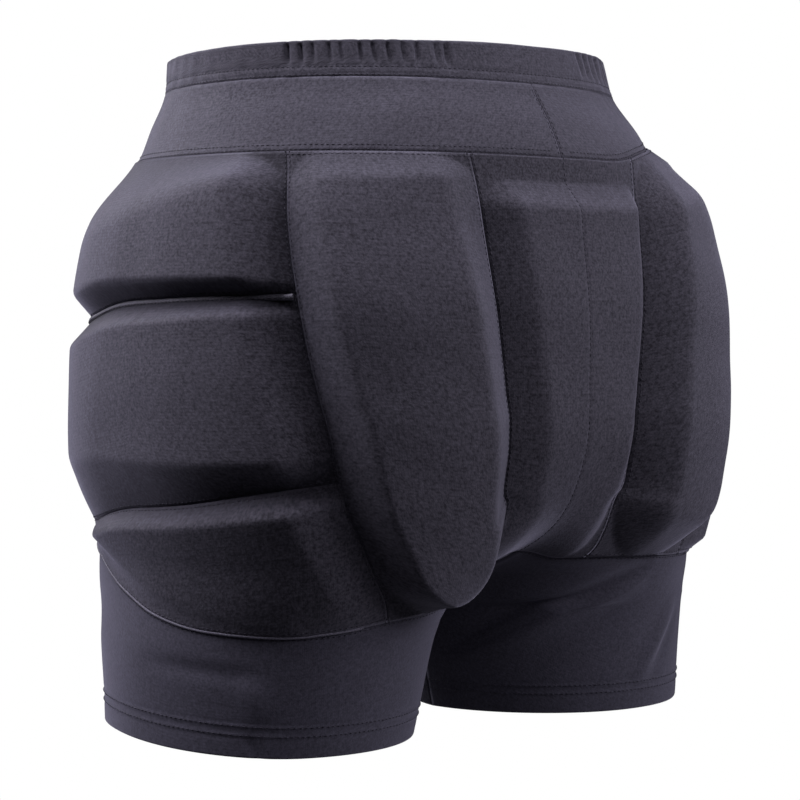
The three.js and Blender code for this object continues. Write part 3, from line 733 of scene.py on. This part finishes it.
def yokeLift(side, turn, z):
    # plain cloth, drawn in at its seams and by the gathers above it
    sizes = yokeSizes
    top, bottom = bandBottom(turn), yokeSeam(side)(turn)
    share = (top - z) / (top - bottom)
    noise = softNoise(turn * girth, z, sizes["noiseSize"], sizes["noiseSeed"] + (side == "right"))
    lift = sizes["unevenness"] * noise * soft(np.clip(share * 3, 0, 1))
    pulled = gatherDepth(turn, mix(bandBottom(turn), bandTop(turn), 0.6)) / waistbandSizes["gatherDepth"]
    lift -= sizes["pull"] * pulled * np.exp(-1.6 * (top - z) / sizes["pullLength"])
    edge = np.minimum(top - z, z - bottom)
    lift = lift * soft(np.clip(edge / 4, 0, 1)) - seamTuck(edge)
    fromMiddle = clothPoint(turn, z)[..., 0]
    return lift - sizes["middleDepth"] * np.exp(-(fromMiddle / sizes["middleWidth"]) ** 2)


def makeYoke(side, mirrored):
    sizes = yokeSizes
    turns = evenly(girth * sizes["girthShare"], sizes["spacing"])
    turns = np.unique(np.concatenate([turns, np.array(nearMiddle) / girth]))
    turn, share = np.meshgrid(turns, evenly(sizes["height"], sizes["spacing"]))
    gap = sheetLook["seamGap"]
    z = mix(bandBottom(turn) - gap, yokeSeam(side)(turn) + gap, share)
    makeSheet(f"yoke_{side}", turn, z, yokeLift(side, turn, z), cut["clothWall"], yokeKnit,
              mirrored=mirrored)


def patchGrid(left, right, top, bottom, spacing, extra=()):
    # turns and levels of a patch between two upright seams and two level ones
    middleZ = -(cut["yokeDrop"] + cut["tierDrop"]) / 2
    middleTurn = (left(middleZ) + right(middleZ)) / 2
    width = (right(middleZ) - left(middleZ)) * girth
    height = float(top(middleTurn) - bottom(middleTurn))
    columns = evenly(width, spacing)
    if extra:
        offsets = np.array(extra) / width
        columns = np.unique(np.concatenate([columns, [0.5], 0.5 - offsets, 0.5 + offsets]))
    across, down = np.meshgrid(columns, evenly(height, spacing))
    z = mix(top(middleTurn), bottom(middleTurn), down)
    for _ in range(6):
        turn = mix(left(z), right(z), across)
        z = mix(top(turn), bottom(turn), down)
    return turn, z


tierSizes = {"liningSpacing": 4.0, "frontSpacing": 2.4, "unevenness": 0.5, "noiseSize": 60, "noiseSeed": 31}


def makeTierCloth():
    sizes = tierSizes

    def makeLining(name, left, right, top, bottom, mirrored=False):
        turn, z = patchGrid(left, right, top, bottom, sizes["liningSpacing"])
        makeSheet(name, turn, z, np.zeros(turn.shape), cut["clothWall"], liningShadeKnit,
                  mirrored=mirrored)

    makeLining("centre_back_panel", otherSeatSeam, seatSeam, yokeSeam("centre"), tierBottom("centre"))
    for side, mirrored in bothSides:
        top, bottom = yokeSeam(side), tierBottom(side)
        makeLining(f"back_panel_{side}", seatSeam, hipSeam, top, bottom, mirrored)
        makeLining(f"side_panel_{side}", hipSeam, frontSeam, top, bottom, mirrored)
        turn, z = patchGrid(frontSeam, middleFront, top, bottom, sizes["frontSpacing"])
        noise = softNoise(turn * girth, z, sizes["noiseSize"], sizes["noiseSeed"] + mirrored)
        inside = np.minimum((turn - frontSeam(z)) * girth, (1 - turn) * girth)
        inside = np.minimum(inside, np.minimum(top(turn) - z, z - bottom(turn)))
        lift = sizes["unevenness"] * noise * soft(np.clip(inside / 8, 0, 1)) - seamTuck(inside)
        makeSheet(f"front_panel_{side}", turn, z, lift, cut["clothWall"], legKnit,
                  mirrored=mirrored)


legSizes = {
    "spacing": 2.0, "girthShare": 1.04, "upperHeight": 36, "lowerHeight": 34,
    "unevenness": 0.5, "noiseSize": 55, "noiseSeed": 41,
    "hemWall": 1.4, "hemDepth": 2.2, "hemSpacing": 0.8, "insideSpacing": 1.6, "aboveHem": 4,
    "hemLines": 4.6,  # between the two tucks, each a ridge between the hollows of its stitching
    "ridge": 0.55, "ridgeWidth": 0.9, "hollow": 0.35, "hollowWidth": 2.0,
}
legFolds = [
    # side, from turn and drop, to turn and drop, half width or a pair of them above and below the
    # line, height; a minus height is a hollow
    ("right", 0.025, 333, 0.21, 281, (2.0, 12), 5.4),
    ("right", 0.025, 328, 0.2, 276, (9, 2.4), -4.6),
    ("right", 0.235, 345, 0.305, 297, 6, 2.4),
    ("right", 0.26, 345, 0.32, 300, 5, -1.2),
    ("left", 0.36, 341, 0.39, 318, 7, 1.5),
    ("left", 0.378, 346, 0.36, 362, 2.4, -1.1),
    ("left", 0.5, 312, 0.36, 319, 4.5, -1.4),
]


def foldHeight(side, turn, z, folds):
    height = np.zeros(np.broadcast(turn, z).shape)
    for foldSide, fromTurn, fromDrop, toTurn, toDrop, half, lift in folds:
        if foldSide != side:
            continue
        runX = (toTurn - fromTurn) * girth
        runZ = fromDrop - toDrop
        x = (np.abs(turn) - fromTurn) * girth
        up = z + fromDrop
        length = math.hypot(runX, runZ)
        along = (x * runX + up * runZ) / length / length
        beside = (up * runX - x * runZ) / length
        above, below = half if isinstance(half, tuple) else (half, half)
        beside = beside / np.where(beside > 0, above, below)
        inside = (along > 0) & (along < 1)
        raised = lift * np.sin(math.pi * np.clip(along, 0, 1)) * np.exp(-beside * beside)
        height += np.where(inside, raised, 0)
    return height


def legUnevenness(side, turn, z):
    sizes = legSizes
    noise = softNoise(turn * girth, z, sizes["noiseSize"], sizes["noiseSeed"] + (side == "right"))
    return sizes["unevenness"] * noise * np.sin(math.pi * turn)


def legLift(side, turn, z):
    sizes = legSizes
    over = z - hemBottom(turn) - cut["hemHeight"]
    lift = legUnevenness(side, turn, z) * soft(np.clip((tierBottom(side)(turn) - z) / 10, 0, 1))
    lift += foldHeight(side, turn, z, legFolds)
    for line in (0, -sizes["hemLines"]):
        lift += sizes["ridge"] * np.exp(-((over - line) / sizes["ridgeWidth"]) ** 2)
        lift -= sizes["hollow"] * np.exp(-((over - line) / sizes["hollowWidth"]) ** 2)
    return lift


def makeLeg(side, mirrored):
    sizes = legSizes
    wall = cut["clothWall"]
    turns = evenly(girth * sizes["girthShare"], sizes["spacing"])
    turn, share = np.meshgrid(turns, evenly(sizes["upperHeight"], sizes["spacing"]))
    upper = mix(tierBottom(side)(turn) - sheetLook["seamGap"], crotchLine(side)(turn), share)
    turn, share = np.meshgrid(turns, evenly(sizes["lowerHeight"], sizes["spacing"]))
    lower = mix(crotchLine(side)(turn), hemTop(turn) + sizes["aboveHem"], share)
    edge = cut["hemHeight"] + sizes["aboveHem"]
    turn, share = np.meshgrid(turns, foldedShares(edge, sizes["hemSpacing"], wall, False, True))
    hemmed = mix(hemTop(turn) + sizes["aboveHem"], hemBottom(turn), share)
    z = np.concatenate([upper, lower[1:], hemmed[1:]])
    turn = np.broadcast_to(turns, z.shape)
    makeSheet(f"leg_{side}", turn, z, legLift(side, turn, z), wall, legKnit,
              mirrored=mirrored, foldBottom=z - hemBottom(turn))
    # the turned-up layer inside the leg's lower edge
    turn, share = np.meshgrid(turns[:-1], evenly(cut["hemHeight"], sizes["insideSpacing"]))
    z = mix(hemTop(turn), hemBottom(turn) + 0.4, share)
    lift = legUnevenness(side, turn, z) + foldHeight(side, turn, z, legFolds)
    makeSheet(f"hem_{side}", turn, z, lift, sizes["hemWall"], legKnit,
              held="folded", ring=True, mirrored=mirrored, depth=sizes["hemDepth"])


# Stitches and welts, which Geometry Nodes lay along paths over the cloth
stitchLook = {"Spacing": 2.9, "Length": 2.1, "Width": 0.55, "sink": 0.1}
weltLook = {
    "Spacing": 2.0, "Width": 3.4,
    "lift": 2.2, "over": -1.2, "toTurn": 0.76,  # how far off the cloth and over the groove it runs
    "stitchLift": 1.55, "stitchOver": -0.6,
}
edgeWelt = {"Spacing": 2.0, "Width": 1.5, "lift": 0.6, "fromTurn": 0.27, "toTurn": 0.665}


def nodeTree(name, numbers):
    # an empty tree with a path going in, the named numbers and the material, and a mesh coming out
    tree = bpy.data.node_groups.new(name, "GeometryNodeTree")
    tree.interface.new_socket("Paths", in_out="INPUT", socket_type="NodeSocketGeometry")
    for number in numbers:
        tree.interface.new_socket(number, in_out="INPUT", socket_type="NodeSocketFloat")
    tree.interface.new_socket("Material", in_out="INPUT", socket_type="NodeSocketMaterial")
    tree.interface.new_socket("Result", in_out="OUTPUT", socket_type="NodeSocketGeometry")
    given = Signal(tree).add("NodeGroupInput")
    path = given.add("GeometryNodeMeshToCurve", {}, {"Mesh": given.out("Paths")})
    path = given.add("GeometryNodeResampleCurve", {"mode": "LENGTH"}, {
        "Curve": path, "Length": given.out("Spacing")})
    return tree, given, path


def finishTree(tree, given, shape):
    smooth = given.add("GeometryNodeSetShadeSmooth", {}, {"Geometry": shape, "Shade Smooth": True})
    whole = given.add("GeometryNodeRealizeInstances", {}, {"Geometry": smooth})
    shown = given.add("GeometryNodeSetMaterial", {}, {
        "Geometry": whole, "Material": given.out("Material")})
    given.add("NodeGroupOutput", {}, {"Result": shown})
    return tree


def stitchTree():
    tree, given, path = nodeTree("stitchRow", ("Spacing", "Length", "Width"))
    tangent = given.add("GeometryNodeInputTangent")
    outward = given.add("GeometryNodeInputNamedAttribute", {"data_type": "FLOAT_VECTOR"}, {"Name": "outward"})
    turned = given.add("FunctionNodeAlignRotationToVector", {"axis": "X"}, {"Vector": tangent})
    turned = given.add("FunctionNodeAlignRotationToVector", {"axis": "Z", "pivot_axis": "X"}, {
        "Rotation": turned, "Vector": outward})
    uneven = given.add("FunctionNodeRandomValue", {}, {2: 0.85, 3: 1.1, "Seed": 7}, output=1)
    size = given.add("ShaderNodeCombineXYZ", {}, {
        "X": given.out("Length") * uneven, "Y": given.out("Width"), "Z": given.out("Width") * 0.8})
    stitch = given.add("GeometryNodeMeshIcoSphere", {}, {"Radius": 0.5, "Subdivisions": 1})
    row = given.add("GeometryNodeInstanceOnPoints", {}, {
        "Points": path, "Instance": stitch, "Rotation": turned, "Scale": size})
    return finishTree(tree, given, row)


def weltTree():
    tree, given, path = nodeTree("weltRun", ("Spacing", "Width"))
    section = given.add("GeometryNodeCurvePrimitiveCircle", {}, {
        "Resolution": 8, "Radius": given.out("Width") * 0.5})
    welt = given.add("GeometryNodeCurveToMesh", {}, {
        "Curve": path, "Profile Curve": section, "Fill Caps": True})
    return finishTree(tree, given, welt)


stitchRow = stitchTree()
weltRun = weltTree()


def seamRun(turn, z, height, sign=1):
    # the points of a path over the cloth, each with the way out of the cloth there
    turn, z, height = np.broadcast_arrays(turn, z, height)
    points = offCloth(turn, z, height)
    outward = clothOutward(turn, z)
    mirror = np.array([sign, 1, 1])
    return points * mirror, outward * mirror


def growAlong(name, tree, runs, look, material):
    points = np.concatenate([run[0] for run in runs]) * millimetre
    outward = np.concatenate([run[1] for run in runs])
    edges = []
    start = 0
    for run in runs:
        count = len(run[0])
        edges += [(start + i, start + i + 1) for i in range(count - 1)]
        start += count
    mesh = bpy.data.meshes.new(name + "Paths")
    mesh.from_pydata(points.tolist(), edges, [])
    mesh.attributes.new("outward", "FLOAT_VECTOR", "POINT").data.foreach_set("vector", outward.ravel())
    carrier = bpy.data.objects.new(name + "Paths", mesh)
    bpy.context.collection.objects.link(carrier)
    modifier = carrier.modifiers.new("grow", "NODES")
    modifier.node_group = tree
    for item in tree.interface.items_tree:
        if item.name == "Material":
            modifier[item.identifier] = material
        elif item.name in look:
            modifier[item.identifier] = look[item.name] * millimetre
    seen = carrier.evaluated_get(bpy.context.evaluated_depsgraph_get())
    grown = bpy.data.meshes.new_from_object(seen)
    carrier.modifiers.clear()
    bpy.data.objects.remove(carrier)
    grown.name = name
    piece = bpy.data.objects.new(name, grown)
    bpy.context.collection.objects.link(piece)
    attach(piece, "root")
    print(name, len(grown.polygons), "faces")


# Padded pieces
padLook = {
    "rim": 0.75, "gap": 0.2, "unevenness": 0.28, "noiseSize": 38, "mapShift": 0.0171,
    "seamDepth": 0.35, "seamWidth": 1.0,  # the seam down the tailbone pad
}
plainPad = {
    # back, front, top and bottom are the widths in millimetres over which the pad swells, the last two
    # as a pair for the pad's back and front; corner is how much wider than the bevels the corners are
    # rounded, at the top and the bottom; soften rounds the crest; inset is how far below its seam the
    # pad begins; taper, lean and topShare change its thickness: at the bottom, from back to front, at
    # the top; deep and worn are painted shade that darkens the knit, in the seams and over the face
    "corner": (1, 1), "inset": 0, "taper": 1, "lean": (1, 1), "topShare": 1, "paintedShade": 1, "faceShade": 0,
    "folds": [], "spacing": 1.5,
}
pads = [
    {"name": "hip_pad_upper", "seams": (hipSeam, frontSeam), "rows": (yokeSeam, upperGroove),
     "thickness": 16, "back": 27, "front": 30, "top": (24, 60), "bottom": (5, 15), "soften": 0.2,
     "lean": (1.35, 0.72)},
    {"name": "hip_pad_middle", "seams": (hipSeam, frontSeam), "rows": (upperGroove, lowerGroove),
     "thickness": 15, "back": 30, "front": 30, "top": (12, 20), "bottom": (13, 43), "soften": 0.12,
     "lean": (1.35, 0.75),
     "right": {"thickness": 17, "back": 23, "bottom": (17, 26)}},
    {"name": "hip_pad_lower", "seams": (hipSeam, lambda z: 0.67 + 0 * z), "rows": (lowerGroove, tierBottom),
     "thickness": 18.5, "back": 30, "front": 40, "top": (12, 12), "bottom": (4, 20), "soften": 0.09,
     # painted shade: the face of the lower hip pad is darkened, as it faces down and lies in shade
     "taper": 0.1, "lean": (1.15, 0.62), "paintedShade": 0.15, "faceShade": 0.45,
     "right": {"taper": 0.42, "top": (9, 9), "bottom": (8, 18), "lean": (1.1, 1)}},
    {"name": "buttock_pad", "seams": (seatSeam, hipSeam), "rows": (yokeSeam, tierBottom),
     "thickness": 21, "back": 26, "front": 20, "top": (15, 24), "bottom": (24, 20), "soften": 0.15,
     "corner": (1, 1.8), "topShare": 0.48, "paintedShade": 0.3,
     "folds": [("left", 0.315, 110, 0.215, 262, 4, -1.8), ("left", 0.295, 160, 0.225, 240, 3.5, -1.2)],
     "right": {"front": 26, "top": (36, 44), "bottom": (42, 28), "corner": (1, 1.2), "topShare": 0.85}},
    {"name": "tailbone_pad", "seams": (otherSeatSeam, seatSeam), "rows": (yokeSeam, tierBottom),
     "thickness": 11.5, "back": 15, "front": 22, "top": (17, 17), "bottom": (80, 80), "soften": 0.2,
     "inset": 13, "paintedShade": 0.3, "spacing": 1.0},
]


def crest(t, soften):
    # 0 at the rim, 1 on the face: straight up the bevel and rounded into the face
    def blended(value):
        steep = value * 1.15
        h = np.clip(0.5 + 0.5 * (1 - steep) / soften, 0, 1)
        return mix(1, steep, h) - soften * h * (1 - h)

    return blended(t) / blended(np.array(1.0))


def padSkin(pad, side, seed):
    lines = (row(side) for row in pad["rows"])
    extra = nearMiddle if side == "centre" else ()
    turn, z = patchGrid(*pad["seams"], *lines, pad["spacing"], extra)
    base = clothPoint(turn, z)
    across = np.zeros(turn.shape)
    across[:, 1:] = np.cumsum(np.linalg.norm(np.diff(base, axis=1), axis=2), axis=1)
    down = np.zeros(turn.shape)
    down[1:] = np.cumsum(np.linalg.norm(np.diff(base, axis=0), axis=2), axis=0)
    along = across / across[:, -1:]
    fallen = down / down[-1:]
    fromTop = np.maximum(down - pad["inset"], 0) / mix(*pad["top"], along)
    fromBottom = (down[-1:] - down) / mix(*pad["bottom"], along)
    fromBack = across / pad["back"]
    fromFront = (across[:, -1:] - across) / pad["front"]
    corner = np.where(fromTop < fromBottom, *pad["corner"])
    sideways = corner - np.minimum(np.minimum(fromBack, fromFront), corner)
    upright = corner - np.minimum(np.minimum(fromTop, fromBottom), corner)
    t = np.clip(corner - np.hypot(sideways, upright), 0, 1)
    share = crest(t, pad["soften"])
    full = pad["thickness"] * mix(1, pad["taper"], fallen) * mix(*pad["lean"], along)
    full = full * mix(pad["topShare"], 1, soft(np.clip(fallen / 0.4, 0, 1)))
    height = padLook["gap"] + mix(padLook["rim"], full, share)
    height += padLook["unevenness"] * softNoise(across, down, padLook["noiseSize"], seed) * share
    height += foldHeight(side, turn, z, pad["folds"]) * share ** 0.5
    if side == "centre":
        height -= padLook["seamDepth"] * np.exp(-(base[..., 0] / padLook["seamWidth"]) ** 2) * share
    # painted shade: darker knit towards the rim, in the seams and grooves where shade falls, and over the
    # lower hip pad's face, which lies in shade
    depth = pad["paintedShade"] * (1 - share) ** 1.5 + pad["faceShade"] * share ** 3
    return turn, z, height, depth


def makePad(pad, side, mirrored, seed):
    # makes the pad, and returns the paths along its edges for the stitches
    turn, z, height, depth = padSkin({**plainPad, **pad, **pad.get(side, {})}, side, seed)
    outer = offCloth(turn, z, height)
    inner = offCloth(turn, z, np.full(turn.shape, padLook["gap"]))
    name = pad["name"] if side == "centre" else f"{pad['name']}_{side}"
    shift = seed * padLook["mapShift"]
    piece = meshFromGrids(name, outer, inner, padKnit, mirrored=mirrored, uvShift=shift, depth=depth,
                          laid=inner)
    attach(piece, "root")
    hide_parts(name)
    whole = slice(None)
    edges = {"back": (whole, 1), "front": (whole, -2), "middle": (whole, turn.shape[1] // 2),
             "top": (1, whole), "bottom": (-2, whole)}
    sign = -1 if mirrored else 1
    over = height + stitchLook["sink"]
    return {key: seamRun(turn[at], z[at], over[at], sign) for key, at in edges.items()}


makeWaistband()
for side, mirrored in bothSides:
    makeYoke(side, mirrored)
makeTierCloth()
for side, mirrored in bothSides:
    makeLeg(side, mirrored)
print("cloth pieces made:", len(clothSheets))

seed = 50
padRuns = {}
for pad in pads:
    for side, mirrored in (("centre", False),) if pad["name"] == "tailbone_pad" else bothSides:
        seed += 1
        padRuns[pad["name"], side] = makePad(pad, side, mirrored, seed)
print("padded pieces made")


def levelRun(line, over, liftAt, fromTurn, toTurn, sign=1, spacing=2.0):
    # a path that follows a seam line round the garment, some millimetres above it
    turn = np.linspace(fromTurn, toTurn, max(4, int(abs(toTurn - fromTurn) * girth / spacing)))
    z = line(turn) + over
    return seamRun(turn, z, liftAt(turn, z) + stitchLook["sink"], sign)


def sewBand():
    lines = (waistbandSizes["seamLine"], waistbandSizes["upperLine"])
    runs = [levelRun(bandBottom, over, bandLift, -1, 1) for over in lines]
    growAlong("waistband_stitching", stitchRow, runs, stitchLook, seamThread)


sewnRows = {
    # millimetres over a seam line, and the turns between which the rows run
    "yoke": (1.4, 3.8), "tier": -1.6, "ends": (0.004, 0.999), "hemEnds": (0.002, 0.998),
    "middleTop": -16, "middleEnd": 3, "middleCount": 24,  # down the middle of the yoke's back
}
sewnEdges = {
    "buttock_pad": ("back", "front", "bottom", "top"), "hip_pad_upper": ("back", "bottom"),
    "hip_pad_middle": ("back", "top", "bottom"), "hip_pad_lower": ("back", "top", "bottom"),
}


def sewSide(side, sign):
    def onYoke(turn, z):
        return yokeLift(side, turn, z)

    def onLeg(turn, z):
        return legLift(side, turn, z)

    def atHeight(height):
        return lambda turn, z: height + 0 * turn

    rows = sewnRows
    runs = [levelRun(yokeSeam(side), over, onYoke, *rows["ends"], sign) for over in rows["yoke"]]
    middle = np.linspace(rows["middleTop"], yokeSeam(side)(0) + rows["middleEnd"], rows["middleCount"])
    beside = yokeSizes["seamStitch"] / girth
    runs.append(seamRun(beside, middle, onYoke(beside, middle) + stitchLook["sink"], sign))
    runs.append(levelRun(tierBottom(side), rows["tier"], onLeg, *rows["ends"], sign))
    for over in (0, -legSizes["hemLines"]):
        runs.append(levelRun(hemTop, over, onLeg, *rows["hemEnds"], sign))
    growAlong(f"garment_stitching_{side}", stitchRow, runs, stitchLook, seamThread)
    runs = [padRuns[pad, side][edge] for pad, edges in sewnEdges.items() for edge in edges]
    growAlong(f"pad_stitching_{side}", stitchRow, runs, stitchLook, seamThread)
    look = weltLook
    groove = upperGroove(side)
    ends = (hipSeam(groove(0.3)) + 0.004, look["toTurn"])
    runs = [levelRun(groove, look["over"], atHeight(look["lift"]), *ends, sign)]
    # the welt in the upper groove carries painted light
    growAlong(f"groove_welt_{side}", weltRun, runs, look, weltPaintedLight)
    over, lift = look["over"] + look["stitchOver"], look["lift"] + look["stitchLift"]
    runs = [levelRun(groove, over, atHeight(lift), *ends, sign)]
    growAlong(f"groove_stitching_{side}", stitchRow, runs, stitchLook, seamThread)
    # the welt along the lower hip pad's seam carries a painted highlight
    look = edgeWelt
    runs = [levelRun(tierBottom(side), 0, atHeight(look["lift"]), look["fromTurn"], look["toTurn"], sign)]
    growAlong(f"lower_pad_welt_{side}", weltRun, runs, look, edgePaintedHighlight)


sewBand()
for side, sign in (("left", 1), ("right", -1)):
    sewSide(side, sign)
edges = [padRuns["tailbone_pad", "centre"][edge] for edge in ("back", "front", "middle")]
growAlong("tailbone_pad_stitching", stitchRow, edges, stitchLook, seamThread)
print("stitching made")

for piece, width, length, area, held in clothSheets:
    min(area, width * length)
